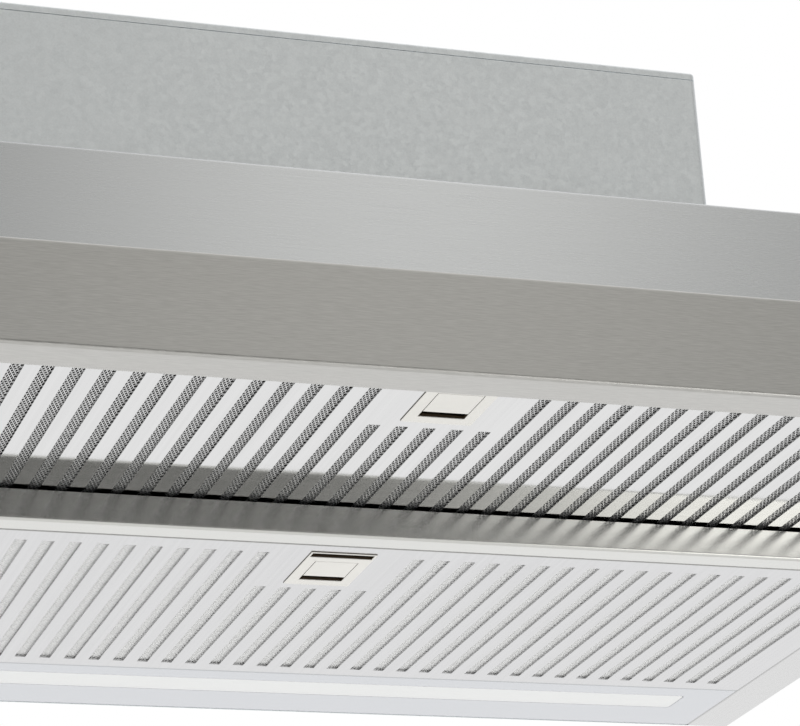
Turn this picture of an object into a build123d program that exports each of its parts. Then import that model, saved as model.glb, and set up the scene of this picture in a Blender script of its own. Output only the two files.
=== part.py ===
from build123d import *
import os

# Pull-out range hood for a 600 mm wide cabinet, with its filter tray drawn out.
# X runs across the hood, Y towards the wall and Z up. The origin is the centre of
# the four cabinet screw holes, on the top face of the casing.

# Casing of folded stainless sheet, open below
BODY_WIDTH = 598.0
BODY_DEPTH = 276.0
BODY_HEIGHT = 178.0
SHEET = 0.8
BEND = 1.2  # radius of a fold at mid thickness
RETURN = 12.0  # width of a folded edge
LIP = 10.0  # height of the upturned edges round a filter
MOUTH_HEIGHT = 46.0  # front opening that the tray runs through
SEAM = 0.4  # gap between neighbouring panels
CABINET_SPAN_X = 500.0
CABINET_SPAN_Y = 180.0
CABINET_HOLE = 6.0

# Underside frame
SIDE_RAIL = 24.5
FRONT_RAIL = 13.85
FRONT_RAIL_HEIGHT = 13.75
LIGHT_PANEL = 68.15

# Light
LENS_END_MARGIN = 24.1  # from the end of the light panel
LENS_WIDTH = 21.0
LENS_FROM_BACK = 43.5
LENS_CORNER = 2.0
LENS_FLANGE = 4.0
LENS_FLANGE_THICKNESS = 1.5
LED_CHANNEL_HEIGHT = 12.0
LED_CHANNEL_FOOT = 6.0
LED_BOARD_WIDTH = 14.0
LED_BOARD_THICKNESS = 1.2
LED_PITCH = 20.0
LED_CHIP = 3.5
LED_CHIP_HEIGHT = 0.8
DRIVER_SIZE = (120.0, 24.0, 26.0)
DRIVER_LEVEL = 30.0  # above the underside
DRIVER_CORNER = 3.0

# Grease filters: a slotted pan filled with layers of expanded mesh
FILTER_THICKNESS = 10.0
FILTER_HEM = 8.0
SLOT_PITCH = 12.14
SLOT_WIDTH = 5.33
SLOT_SIDE_MARGIN = 18.3
SLOT_FRONT_MARGIN = 11.55
SLOT_REAR_MARGIN = 9.9
MESH_THICKNESS = 1.2  # as much metal as the stacked layers hold
LUG_SPAN = 380.0
LUG_WIDTH = 24.0
LUG_REACH = 6.0
LUG_LEVEL = 6.0
LUG_CLEARANCE = 0.3

# Filter latch: bezel, sliding catch and bow spring
LATCH_WIDTH = 31.0
LATCH_LENGTH = 45.0
LATCH_INSET = 7.7  # from the front edge of the filter
LATCH_PROUD = 0.5
LATCH_DEPTH = 8.0
LATCH_FACE = 1.5
LATCH_WALL = 2.5
LATCH_FIT = 0.15
LATCH_SLOT_INSET = 1.0
LATCH_SLOT = 5.5
LATCH_BRIDGE = 5.5  # strip between the front slot and the button
LATCH_MARGIN = 6.7  # from the bezel to the short slots
BUTTON_WIDTH = 19.6
BUTTON_LENGTH = 20.2
BUTTON_CLEARANCE = 0.4
FINGER_RECESS = 6.1
CATCH_THICKNESS = 2.0
CATCH_LIFT = 1.0  # above the inside of the bezel face
CATCH_REACH = 4.2  # past the front edge of the filter
CATCH_WIDTH = 24.0
SPRING_THICKNESS = 0.5
SPRING_HEIGHT = 3.0
SPRING_SPAN = 18.0

# Pull-out tray
TRAVEL = 171.0
TRAY_LIFT = 14.9  # tray filter above fixed filter
TRAY_HEIGHT = 25.0
TRAY_SIDE = 9.5
TRAY_FLANGE = 9.0
TRAY_REAR_BAR = 13.0
TRAY_STOP = 3.5
FASCIA_HEIGHT = 43.0
FASCIA_DEPTH = 21.4
FASCIA_RETURN = 6.0
CLOSED_GAP = 0.75
FASCIA_SCREW_COUNT = 4
FASCIA_SCREW_PITCH = 100.0

# Control keys at the right end of the fascia
KEY_COUNT = 5
KEY_PITCH = 18.0
KEY_CENTRE_FROM_END = 69.0
KEY_WIDTH = 13.0
KEY_HEIGHT = 9.0
KEY_CORNER = 1.5
KEY_PROUD = 2.0
KEY_TRAVEL = 2.0
KEY_BODY = 6.6
KEY_STEM_WIDTH = 6.0
KEY_STEM_HEIGHT = 4.0
KEY_STEM = 7.5
KEY_CLEARANCE = 0.3
SWITCH_BLOCK_WALL = 3.0
SWITCH_BLOCK_DEPTH = 17.5
SWITCH_BLOCK_HEIGHT = 20.0

# Telescopic slides
SLIDE_HEIGHT = 22.0
SLIDE_WALL = 1.2
SLIDE_GAP = 0.4
SLIDE_REACH = 9.5
SLIDE_OUTER_LENGTH = 250.0
SLIDE_MIDDLE_LENGTH = 230.0
SLIDE_SETBACK = 3.0

# Galvanised blower box on top of the casing
BOX_WIDTH = 400.0
BOX_DEPTH = 220.0
BOX_HEIGHT = 87.0
BOX_SETBACK = 31.25
BOX_CORNER = 3.0
BOX_RIM_ROUND = 0.7
BOX_FLANGE = 12.0
BOX_AIR_RIM = 15.0
LID_SKIRT = 4.0
LID_EDGE = 1.5
LID_FIXING_INSET = 50.0

# Outlet collar with its damper
COLLAR_DIAMETER = 119.0
COLLAR_WALL = 2.0
COLLAR_HEIGHT = 33.0
COLLAR_Y = 22.0
COLLAR_FLANGE = 12.5
COLLAR_FLANGE_THICKNESS = 2.5
COLLAR_SCREWS = 4
COLLAR_SCREW_TURN = 45.0  # degrees
SEAT_WIDTH = 2.5
SEAT_THICKNESS = 2.0
SEAT_LEVEL = 9.0
FLAP_THICKNESS = 1.5
FLAP_CLEARANCE = 0.8
FLAP_LIFT = 0.3
PIN_RADIUS = 1.5
PIN_EMBED = 1.2
KNUCKLE_RADIUS = 2.8
KNUCKLE_BORE = 1.56
KNUCKLE_LENGTH = 14.0
KNUCKLE_GAP = 0.5
KNUCKLE_COUNT = 4

# Blower: volute, double-inlet wheel and motor
AXIS_DROP = 38.0
SCROLL_RADIUS = 78.0
SCROLL_STEP = 6.0
SCROLL_WIDTH = 130.0
SCROLL_WALL = 1.2
TONGUE_ANGLE = 110.0
THROAT = 120.0
INLET_RADIUS = 60.0
INLET_GAP = 1.0  # from the inlet rim to the wheel
WHEEL_RADIUS = 68.0
WHEEL_WIDTH = 116.0
WHEEL_RING = 1.5
BLADE_COUNT = 36
BLADE_DEPTH = 13.0
BLADE_THICKNESS = 0.8
BLADE_SWEEP = 7.0  # degrees
BLADE_CAMBER = 2.5
HUB_RADIUS = 12.0
HUB_LENGTH = 16.0
SHAFT_RADIUS = 4.0
SHAFT_CLEARANCE = 0.06
SHAFT_END = 4.0
MOTOR_RADIUS = 40.0
MOTOR_GAP = 12.0  # from the wheel disc
MOTOR_NOSE = 5.0
MOTOR_NOSE_RADIUS = 14.0
MOTOR_EDGE = 4.0
BRACKET_RING = 9.0
BRACKET_ARMS = 3
BRACKET_ARM = 14.0
BRACKET_HUB = 24.0
BRACKET_THICKNESS = 1.5

# Electrical pieces under the lid
TERMINAL_SIZE = (70.0, 65.0, 40.0)
TERMINAL_WALL = 2.0
TERMINAL_CORNER = 3.0
TERMINAL_FROM_SIDE = 50.0  # its centre from the outside of the box
TERMINAL_FROM_REAR = 47.25
GLAND_BORE = 4.0
GLAND_TAIL_BORE = 5.5
GLAND_TUBE = 7.0
GLAND_FLANGE = 11.0
GLAND_HEAD = 8.0
GLAND_TAIL = 8.0
CAPACITOR_RADIUS = 16.0
CAPACITOR_LENGTH = 68.0
CAPACITOR_FROM_SIDE = 50.0
CAPACITOR_FROM_REAR = 43.25
CAPACITOR_EDGE = 2.0

# Pan-head screws
SCREW_HEAD_RADIUS = 3.5
SCREW_HEAD_HEIGHT = 2.0
SCREW_SHANK_RADIUS = 1.75
SCREW_LENGTH = 6.0
SCREW_BEVEL = 0.8
SCREW_CLEARANCE = 0.1

# Planes and levels that the pieces share
half = SHEET / 2
x_wall = BODY_WIDTH / 2
x_inner = x_wall - SHEET
x_open = x_wall - SIDE_RAIL
y_front = -BODY_DEPTH / 2
y_back = BODY_DEPTH / 2
y_back_inner = y_back - SHEET
y_rail = y_front + FRONT_RAIL
y_light = y_back - LIGHT_PANEL
z_under = -BODY_HEIGHT
z_mouth = z_under + MOUTH_HEIGHT
filter_half = x_open - SEAM
filter_front = y_rail + SEAM
filter_rear = y_light - SEAM
z_tray = z_under + TRAY_LIFT
z_cover = z_tray + TRAY_HEIGHT - SHEET
x_tray = x_open + TRAY_SIDE
y_tray_rear = y_light - TRAVEL + TRAY_REAR_BAR
y_lip = y_front - CLOSED_GAP - TRAVEL
y_fascia = y_lip - FASCIA_DEPTH
z_fascia = z_under + FASCIA_HEIGHT
box_front = y_front + BOX_SETBACK
box_rear = box_front + BOX_DEPTH
box_middle = (box_front + box_rear) / 2
box_inner_width = BOX_WIDTH - 2 * SHEET
box_inner_depth = BOX_DEPTH - 2 * SHEET
z_lid = BOX_HEIGHT
z_lid_under = z_lid - SHEET
z_box_top = BOX_HEIGHT - LID_SKIRT
screw_hole = SCREW_SHANK_RADIUS + SCREW_CLEARANCE
terminal_x = TERMINAL_FROM_SIDE - BOX_WIDTH / 2
terminal_y = box_rear - TERMINAL_FROM_REAR
SIDES = (("left", -1), ("right", 1))


def at_y(y):
    """Upright plane across the hood, facing the front."""
    return Plane.XZ.offset(-y)


def at_x(x):
    """Upright plane along the depth of the hood, facing right."""
    return Plane.YZ.offset(x)


def at_z(z):
    """Level plane."""
    return Plane.XY.offset(z)


def folded(points, plane, thickness=SHEET):
    """Section of a sheet that is folded along the points of its middle line."""
    with BuildSketch(plane) as section:
        with BuildLine():
            FilletPolyline(*points, radius=BEND)
        trace(line_width=thickness)
    return section.sketch


def save(piece, name):
    """Name a finished piece and write it out."""
    piece.part.label = name
    export_step(piece.part, f"parts/{name}.step")


def save_screws(name, places):
    """Write a group of pan-head screws, each on its own plane."""
    with BuildPart() as screws:
        with Locations(*places):
            add(pan_screw.part)
    save(screws, name)


os.makedirs("parts", exist_ok=True)

# One pan-head screw, its head above the plane and its shank below
with BuildPart() as pan_screw:
    Cylinder(SCREW_HEAD_RADIUS, SCREW_HEAD_HEIGHT, align=(Align.CENTER, Align.CENTER, Align.MIN))
    chamfer(pan_screw.faces().sort_by(Axis.Z)[-1].edges(), length=SCREW_BEVEL)
    Cylinder(SCREW_SHANK_RADIUS, SCREW_LENGTH, align=(Align.CENTER, Align.CENTER, Align.MAX))

# Front panel, with a lintel over the tray and a return on top
with BuildPart() as front_panel:
    front_line = [
        (y_front + RETURN, -half),
        (y_front + half, -half),
        (y_front + half, z_mouth + half),
        (y_front + RETURN, z_mouth + half),
    ]
    extrude(folded(front_line, at_x(0)), amount=x_inner, both=True)
save(front_panel, "front_panel")

# Side panels, folded in below to make the side rails of the underside
for side, sign in SIDES:
    with BuildPart() as side_panel:
        side_line = [
            (sign * (x_wall - half), 0),
            (sign * (x_wall - half), z_under + half),
            (sign * (x_open + half), z_under + half),
            (sign * (x_open + half), z_under + LIP),
        ]
        extrude(folded(side_line, at_y(y_back)), amount=BODY_DEPTH)
        rail_middle = (sign * (x_open + x_inner) / 2, z_under + LIP / 2)
        with BuildSketch(at_y(y_rail)):
            with Locations(rail_middle):
                Rectangle(x_inner - x_open, LIP + SEAM)
        extrude(amount=FRONT_RAIL, mode=Mode.SUBTRACT)
        with BuildSketch(at_y(y_back)):
            with Locations(rail_middle):
                Rectangle(x_inner - x_open, LIP + SEAM)
        extrude(amount=SHEET, mode=Mode.SUBTRACT)
    save(side_panel, f"side_panel_{side}")

# Back panel with side returns
with BuildPart() as back_panel:
    with BuildSketch(at_y(y_back)):
        with Locations((0, z_under / 2)):
            Rectangle(2 * x_inner, BODY_HEIGHT)
    extrude(amount=SHEET)
    flange_low = z_under + LIP
    flange_high = -RETURN - SEAM
    with BuildSketch(at_y(y_back_inner)):
        with Locations(*[(sign * (x_inner - half), (flange_low + flange_high) / 2) for _, sign in SIDES]):
            Rectangle(SHEET, flange_high - flange_low)
    extrude(amount=RETURN - SHEET)
save(back_panel, "back_panel")

# Screws that hold the blower box down to the casing
box_screw_x = BOX_WIDTH / 2 + BOX_FLANGE / 2
box_screw_y = BOX_DEPTH / 2 + BOX_FLANGE / 2
box_screw_spots = [
    (x, box_middle + y)
    for x, y in [(sx * BOX_WIDTH / 4, sy * box_screw_y) for sx in (-1, 1) for sy in (-1, 1)]
    + [(sx * box_screw_x, sy * BOX_DEPTH / 4) for sx in (-1, 1) for sy in (-1, 1)]
]

# Top panel, joggled under the front return and turned down at the other edges
with BuildPart() as top_panel:
    joggle = y_front + RETURN + SEAM
    top_line = [
        (y_front + SHEET + BEND, -SHEET - half),
        (joggle, -SHEET - half),
        (joggle + 2 * SHEET, -half),
        (y_back_inner - half, -half),
        (y_back_inner - half, -RETURN),
    ]
    extrude(folded(top_line, at_x(0)), amount=x_inner, both=True)
    flange_front = joggle + RETURN
    flange_rear = y_back - RETURN
    with BuildSketch(at_z(0)):
        with Locations(*[(sign * (x_inner - half), (flange_front + flange_rear) / 2) for _, sign in SIDES]):
            Rectangle(SHEET, flange_rear - flange_front)
    extrude(amount=-RETURN)
    with BuildSketch(at_z(0)):
        with Locations((0, box_middle)):
            Rectangle(BOX_WIDTH - 2 * BOX_AIR_RIM, BOX_DEPTH - 2 * BOX_AIR_RIM)
        with GridLocations(CABINET_SPAN_X, CABINET_SPAN_Y, 2, 2):
            Circle(CABINET_HOLE / 2)
        with Locations(*box_screw_spots):
            Circle(screw_hole)
    extrude(amount=-SHEET, mode=Mode.SUBTRACT)
save(top_panel, "top_panel")

# Levels of the latch parts above the lower face of a filter
latch_front = LATCH_INSET
latch_middle = latch_front + LATCH_LENGTH / 2
button_front = latch_front + LATCH_SLOT_INSET + LATCH_SLOT + LATCH_BRIDGE
button_rear = button_front + BUTTON_LENGTH
recess_rear = button_rear + FINGER_RECESS
face_inside = LATCH_FACE - LATCH_PROUD
catch_low = face_inside + CATCH_LIFT
catch_high = catch_low + CATCH_THICKNESS
cavity_top = LATCH_DEPTH - LATCH_PROUD - LATCH_FACE
cavity_rear = latch_front + LATCH_LENGTH - LATCH_WALL

# Front rail, the step below the tray
with BuildPart() as front_rail:
    rail_line = [
        (y_front + half, z_under + FRONT_RAIL_HEIGHT),
        (y_front + half, z_under + half),
        (y_rail - half, z_under + half),
        (y_rail - half, z_under + LIP),
    ]
    extrude(folded(rail_line, at_x(0)), amount=x_inner, both=True)
    with BuildSketch(at_y(y_rail)):
        with Locations((0, z_under + (catch_low + catch_high) / 2)):
            Rectangle(CATCH_WIDTH + 2 * BUTTON_CLEARANCE, CATCH_THICKNESS + 2 * LUG_CLEARANCE)
    extrude(amount=SHEET, mode=Mode.SUBTRACT)
save(front_rail, "front_rail")

# Light panel behind the fixed filter, notched for the filter's hooks
y_lens = y_back - LENS_FROM_BACK
lens_length = 2 * (filter_half - LENS_END_MARGIN)
with BuildPart() as light_panel:
    light_line = [
        (y_light + half, z_under + LIP),
        (y_light + half, z_under + half),
        (y_back_inner - half, z_under + half),
        (y_back_inner - half, z_under + LIP),
    ]
    extrude(folded(light_line, at_x(0)), amount=filter_half, both=True)
    with BuildSketch(at_z(z_under)):
        with Locations((0, y_lens)):
            RectangleRounded(lens_length + 2 * SEAM, LENS_WIDTH + 2 * SEAM, LENS_CORNER)
    extrude(amount=SHEET, mode=Mode.SUBTRACT)
    notch_low = z_under + LUG_LEVEL - LUG_CLEARANCE
    with BuildSketch(at_y(y_light + SHEET)):
        with Locations(*[(sign * LUG_SPAN / 2, (notch_low + z_under + LIP) / 2) for _, sign in SIDES]):
            Rectangle(LUG_WIDTH + 2 * SEAM, z_under + LIP - notch_low)
    extrude(amount=SHEET, mode=Mode.SUBTRACT)
save(light_panel, "light_panel")

# Frosted lens, flush with the panel and resting on its inside
with BuildPart() as light_lens:
    with BuildSketch(at_z(z_under)):
        with Locations((0, y_lens)):
            RectangleRounded(lens_length, LENS_WIDTH, LENS_CORNER)
    extrude(amount=SHEET)
    with BuildSketch(at_z(z_under + SHEET)):
        with Locations((0, y_lens)):
            RectangleRounded(lens_length + 2 * LENS_FLANGE, LENS_WIDTH + 2 * LENS_FLANGE, LENS_CORNER)
    extrude(amount=LENS_FLANGE_THICKNESS)
save(light_lens, "light_lens")

# Channel that covers the lens from inside and carries the light strip
channel_half = LENS_WIDTH / 2 + LENS_FLANGE + SEAM + SHEET
z_channel = z_under + SHEET
z_channel_top = z_channel + LED_CHANNEL_HEIGHT
with BuildPart() as led_channel:
    channel_line = [
        (y_lens - channel_half - LED_CHANNEL_FOOT, z_channel + half),
        (y_lens - channel_half + half, z_channel + half),
        (y_lens - channel_half + half, z_channel_top - half),
        (y_lens + channel_half - half, z_channel_top - half),
        (y_lens + channel_half - half, z_channel + half),
        (y_lens + channel_half + LED_CHANNEL_FOOT, z_channel + half),
    ]
    extrude(folded(channel_line, at_x(0)), amount=lens_length / 2 + LENS_FLANGE, both=True)
save(led_channel, "led_channel")

# Light strip with its chips facing down
with BuildPart() as led_board:
    z_board = z_channel_top - SHEET - LED_BOARD_THICKNESS
    with BuildSketch(at_z(z_board)):
        with Locations((0, y_lens)):
            Rectangle(lens_length, LED_BOARD_WIDTH)
    extrude(amount=LED_BOARD_THICKNESS)
    with BuildSketch(at_z(z_board)):
        with Locations((0, y_lens)):
            with GridLocations(LED_PITCH, 0, int(lens_length / LED_PITCH), 1):
                Rectangle(LED_CHIP, LED_CHIP)
    extrude(amount=-LED_CHIP_HEIGHT)
save(led_board, "led_board")

# Light driver on the inside of the back panel
with BuildPart() as led_driver:
    with BuildSketch(at_y(y_back_inner)):
        with Locations((0, z_under + DRIVER_LEVEL + DRIVER_SIZE[2] / 2)):
            RectangleRounded(DRIVER_SIZE[0], DRIVER_SIZE[2], DRIVER_CORNER)
    extrude(amount=DRIVER_SIZE[1])
    fillet(led_driver.faces().sort_by(Axis.Y)[0].edges(), radius=DRIVER_CORNER / 2)
save(led_driver, "led_driver")


def make_filter(name, shift, base):
    """Filter pan, mesh and latch, with the pan's lower face at base."""
    front = filter_front + shift
    rear = filter_rear + shift
    middle = (front + rear) / 2
    slot_front = front + SLOT_FRONT_MARGIN
    slot_rear = rear - SLOT_REAR_MARGIN
    short_front = front + latch_front + LATCH_LENGTH + LATCH_MARGIN
    side_slots = int((filter_half - SLOT_SIDE_MARGIN) / SLOT_PITCH)
    slot_places = [SLOT_PITCH * i for i in range(-side_slots, side_slots + 1)]
    latch_half = LATCH_WIDTH / 2 + LATCH_MARGIN
    short_places = [x for x in slot_places if abs(x) - SLOT_WIDTH / 2 < latch_half]
    long_places = [x for x in slot_places if x not in short_places]
    latch_y = front + latch_middle

    with BuildPart() as panel:
        with BuildSketch(at_z(base)):
            with Locations((0, middle)):
                Rectangle(2 * filter_half, rear - front)
        extrude(amount=FILTER_THICKNESS)
        offset(amount=-SHEET, openings=panel.faces().sort_by(Axis.Z)[-1])
        with BuildSketch(at_z(base + FILTER_THICKNESS)):
            with Locations((0, middle)):
                Rectangle(2 * filter_half, rear - front)
                Rectangle(2 * (filter_half - FILTER_HEM), rear - front - 2 * FILTER_HEM, mode=Mode.SUBTRACT)
        extrude(amount=-SHEET)
        with BuildSketch(at_z(base)):
            with Locations(*[(x, (slot_front + slot_rear) / 2) for x in long_places]):
                Rectangle(SLOT_WIDTH, slot_rear - slot_front)
            with Locations(*[(x, (short_front + slot_rear) / 2) for x in short_places]):
                Rectangle(SLOT_WIDTH, slot_rear - short_front)
            with Locations((0, latch_y)):
                Rectangle(LATCH_WIDTH, LATCH_LENGTH)
        extrude(amount=SHEET, mode=Mode.SUBTRACT)
        with BuildSketch(at_y(front + SHEET)):
            with Locations((0, base + (catch_low + catch_high) / 2)):
                Rectangle(CATCH_WIDTH + 2 * BUTTON_CLEARANCE, CATCH_THICKNESS + 2 * LUG_CLEARANCE)
        extrude(amount=SHEET, mode=Mode.SUBTRACT)
        with BuildSketch(at_y(rear + LUG_REACH)):
            with Locations(*[(sign * LUG_SPAN / 2, base + LUG_LEVEL + half) for _, sign in SIDES]):
                Rectangle(LUG_WIDTH, SHEET)
        extrude(amount=LUG_REACH)
    save(panel, f"{name}_filter_panel")

    with BuildPart() as mesh:
        mesh_half = filter_half - SHEET - SEAM
        mesh_depth = rear - front - 2 * (SHEET + SEAM)
        with BuildSketch(at_z(base + SHEET)):
            with Locations((0, middle)):
                Rectangle(2 * mesh_half, mesh_depth)
            with Locations((0, (middle - mesh_depth / 2 + latch_y + LATCH_LENGTH / 2 + SEAM) / 2)):
                pocket = latch_y + LATCH_LENGTH / 2 + SEAM - (middle - mesh_depth / 2)
                Rectangle(LATCH_WIDTH + 2 * SEAM, pocket, mode=Mode.SUBTRACT)
        extrude(amount=MESH_THICKNESS)
    save(mesh, f"{name}_filter_mesh")

    with BuildPart() as bezel:
        with BuildSketch(at_z(base - LATCH_PROUD)):
            with Locations((0, latch_y)):
                Rectangle(LATCH_WIDTH - 2 * LATCH_FIT, LATCH_LENGTH - 2 * LATCH_FIT)
        extrude(amount=LATCH_DEPTH)
        cavity_front = latch_front + LATCH_FIT
        with BuildSketch(at_z(base + face_inside)):
            with Locations((0, front + (cavity_front + cavity_rear) / 2)):
                Rectangle(LATCH_WIDTH - 2 * LATCH_WALL, cavity_rear - cavity_front)
        extrude(amount=cavity_top - face_inside, mode=Mode.SUBTRACT)
        slot_y = front + latch_front + LATCH_SLOT_INSET + LATCH_SLOT / 2
        window_middle = (button_front - BUTTON_CLEARANCE + recess_rear) / 2
        with BuildSketch(at_z(base - LATCH_PROUD)):
            with Locations((0, slot_y)):
                Rectangle(LATCH_WIDTH - 2 * LATCH_SLOT_INSET, LATCH_SLOT)
            with Locations((0, front + window_middle)):
                Rectangle(BUTTON_WIDTH + 2 * BUTTON_CLEARANCE, 2 * (recess_rear - window_middle))
        extrude(amount=LATCH_FACE, mode=Mode.SUBTRACT)
    save(bezel, f"{name}_latch_bezel")

    with BuildPart() as catch:
        catch_front = front - CATCH_REACH
        catch_rear = front + button_rear
        with BuildSketch(at_z(base + catch_low)):
            with Locations((0, (catch_front + catch_rear) / 2)):
                Rectangle(CATCH_WIDTH, catch_rear - catch_front)
        extrude(amount=CATCH_THICKNESS)
        with BuildSketch(at_z(base - LATCH_PROUD)):
            with Locations((0, front + (button_front + button_rear) / 2)):
                Rectangle(BUTTON_WIDTH, BUTTON_LENGTH)
        extrude(amount=catch_low + LATCH_PROUD)
        with BuildSketch(at_z(base + catch_high)):
            with Locations((0, catch_rear - LATCH_WALL / 2)):
                Rectangle(BUTTON_WIDTH, LATCH_WALL)
        extrude(amount=cavity_top - BUTTON_CLEARANCE - catch_high)
        nose = catch.faces().sort_by(Axis.Y)[0].edges().sort_by(Axis.Z)[-1]
        chamfer(nose, length=CATCH_THICKNESS / 2)
    save(catch, f"{name}_latch_catch")

    with BuildPart() as spring:
        bow_front = front + button_rear + SPRING_THICKNESS / 2 + LATCH_FIT
        bow_rear = front + cavity_rear
        with BuildSketch(at_z(base + cavity_top - SPRING_HEIGHT - BUTTON_CLEARANCE)):
            with BuildLine():
                ThreePointArc((-SPRING_SPAN / 2, bow_rear), (0, bow_front), (SPRING_SPAN / 2, bow_rear))
            trace(line_width=SPRING_THICKNESS)
        extrude(amount=SPRING_HEIGHT)
        with BuildSketch(at_y(bow_rear)):
            with Locations((0, base + cavity_top)):
                Rectangle(2 * SPRING_SPAN, 4 * SPRING_HEIGHT)
        extrude(amount=-SPRING_SPAN, mode=Mode.SUBTRACT)
    save(spring, f"{name}_latch_spring")


make_filter("fixed", 0, z_under)
make_filter("tray", -TRAVEL, z_tray)

# Tray side frames, which hold the tray filter and carry the slides
tray_length = y_tray_rear - y_lip
for side, sign in SIDES:
    with BuildPart() as tray_side:
        tray_line = [
            (sign * (x_open + half), z_tray + LIP),
            (sign * (x_open + half), z_tray + half),
            (sign * (x_tray - half), z_tray + half),
            (sign * (x_tray - half), z_cover - half),
            (sign * (x_tray - TRAY_FLANGE), z_cover - half),
        ]
        extrude(folded(tray_line, at_y(y_tray_rear)), amount=tray_length)
    save(tray_side, f"tray_side_{side}")

# Screws from the front bar into the fascia
z_fascia_screw = z_tray + LIP / 2
fascia_screw_first = -FASCIA_SCREW_PITCH * (FASCIA_SCREW_COUNT - 1) / 2
fascia_screw_spots = [fascia_screw_first + FASCIA_SCREW_PITCH * i for i in range(FASCIA_SCREW_COUNT)]

# Front bar of the tray, with the keeper slot for the tray filter's catch
y_bar = y_rail - TRAVEL
with BuildPart() as tray_front_bar:
    bar_line = [
        (y_lip + half, z_cover - SEAM),
        (y_lip + half, z_tray + half),
        (y_bar - half, z_tray + half),
        (y_bar - half, z_tray + LIP),
    ]
    extrude(folded(bar_line, at_x(0)), amount=x_open, both=True)
    with BuildSketch(at_y(y_bar)):
        with Locations((0, z_tray + (catch_low + catch_high) / 2)):
            Rectangle(CATCH_WIDTH + 2 * BUTTON_CLEARANCE, CATCH_THICKNESS + 2 * LUG_CLEARANCE)
    extrude(amount=SHEET, mode=Mode.SUBTRACT)
    with BuildSketch(at_y(y_lip + SHEET)):
        with Locations(*[(x, z_fascia_screw) for x in fascia_screw_spots]):
            Circle(screw_hole)
    extrude(amount=SHEET, mode=Mode.SUBTRACT)
save(tray_front_bar, "tray_front_bar")

# Rear bar of the tray, notched for the tray filter's hooks
y_hook = y_light - TRAVEL
with BuildPart() as tray_rear_bar:
    rear_line = [
        (y_hook + half, z_tray + LIP),
        (y_hook + half, z_tray + half),
        (y_tray_rear - half, z_tray + half),
        (y_tray_rear - half, z_tray + LIP),
    ]
    extrude(folded(rear_line, at_x(0)), amount=x_open, both=True)
    notch_low = z_tray + LUG_LEVEL - LUG_CLEARANCE
    with BuildSketch(at_y(y_hook + SHEET)):
        with Locations(*[(sign * LUG_SPAN / 2, (notch_low + z_tray + LIP) / 2) for _, sign in SIDES]):
            Rectangle(LUG_WIDTH + 2 * SEAM, z_tray + LIP - notch_low)
    extrude(amount=SHEET, mode=Mode.SUBTRACT)
save(tray_rear_bar, "tray_rear_bar")

# Tray cover, turned up at the rear as a stop behind the lintel
with BuildPart() as tray_cover:
    cover_line = [
        (y_lip, z_cover + half),
        (y_tray_rear - half, z_cover + half),
        (y_tray_rear - half, z_cover + SHEET + TRAY_STOP),
    ]
    extrude(folded(cover_line, at_x(0)), amount=x_tray, both=True)
save(tray_cover, "tray_cover")

# Fascia: a folded channel with closed ends and openings for the keys
key_middle = z_under + FASCIA_HEIGHT / 2
key_places = [
    x_wall - KEY_CENTRE_FROM_END + KEY_PITCH * (i - (KEY_COUNT - 1) / 2) for i in range(KEY_COUNT)
]
with BuildPart() as fascia:
    fascia_line = [
        (y_lip - half, z_fascia - FASCIA_RETURN),
        (y_lip - half, z_fascia - half),
        (y_fascia + half, z_fascia - half),
        (y_fascia + half, z_under + half),
        (y_lip - half, z_under + half),
        (y_lip - half, z_tray + LIP),
    ]
    extrude(folded(fascia_line, at_x(0)), amount=x_wall, both=True)
    for _, sign in SIDES:
        with BuildSketch(at_x(sign * x_wall)):
            with Locations(((y_fascia + y_lip) / 2, (z_under + z_fascia) / 2)):
                RectangleRounded(FASCIA_DEPTH, FASCIA_HEIGHT, BEND + half)
        extrude(amount=-sign * SHEET)
    with BuildSketch(at_y(y_fascia + SHEET)):
        with Locations(*[(x, key_middle) for x in key_places]):
            RectangleRounded(KEY_WIDTH + 2 * KEY_CLEARANCE, KEY_HEIGHT + 2 * KEY_CLEARANCE, KEY_CORNER)
    extrude(amount=SHEET, mode=Mode.SUBTRACT)
    with BuildSketch(at_y(y_lip)):
        with Locations(*[(x, z_fascia_screw) for x in fascia_screw_spots]):
            Circle(screw_hole)
    extrude(amount=SHEET, mode=Mode.SUBTRACT)
save(fascia, "fascia")

# Switch block behind the keys, with a stepped socket for each one
y_switch = y_fascia + SHEET
with BuildPart() as switch_block:
    block_width = KEY_PITCH * (KEY_COUNT - 1) + KEY_WIDTH + 2 * SWITCH_BLOCK_WALL
    key_row_middle = x_wall - KEY_CENTRE_FROM_END
    with BuildSketch(at_y(y_switch + SWITCH_BLOCK_DEPTH)):
        with Locations((key_row_middle, key_middle)):
            Rectangle(block_width, SWITCH_BLOCK_HEIGHT)
    extrude(amount=SWITCH_BLOCK_DEPTH)
    socket = KEY_BODY + KEY_TRAVEL + KEY_CLEARANCE - SHEET
    with BuildSketch(at_y(y_switch + socket)):
        with Locations(*[(x, key_middle) for x in key_places]):
            RectangleRounded(KEY_WIDTH + 2 * KEY_CLEARANCE, KEY_HEIGHT + 2 * KEY_CLEARANCE, KEY_CORNER)
    extrude(amount=socket, mode=Mode.SUBTRACT)
    with BuildSketch(at_y(y_switch + socket + KEY_STEM)):
        with Locations(*[(x, key_middle) for x in key_places]):
            Rectangle(KEY_STEM_WIDTH + 2 * KEY_CLEARANCE, KEY_STEM_HEIGHT + 2 * KEY_CLEARANCE)
    extrude(amount=KEY_STEM, mode=Mode.SUBTRACT)
save(switch_block, "switch_block")

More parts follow.
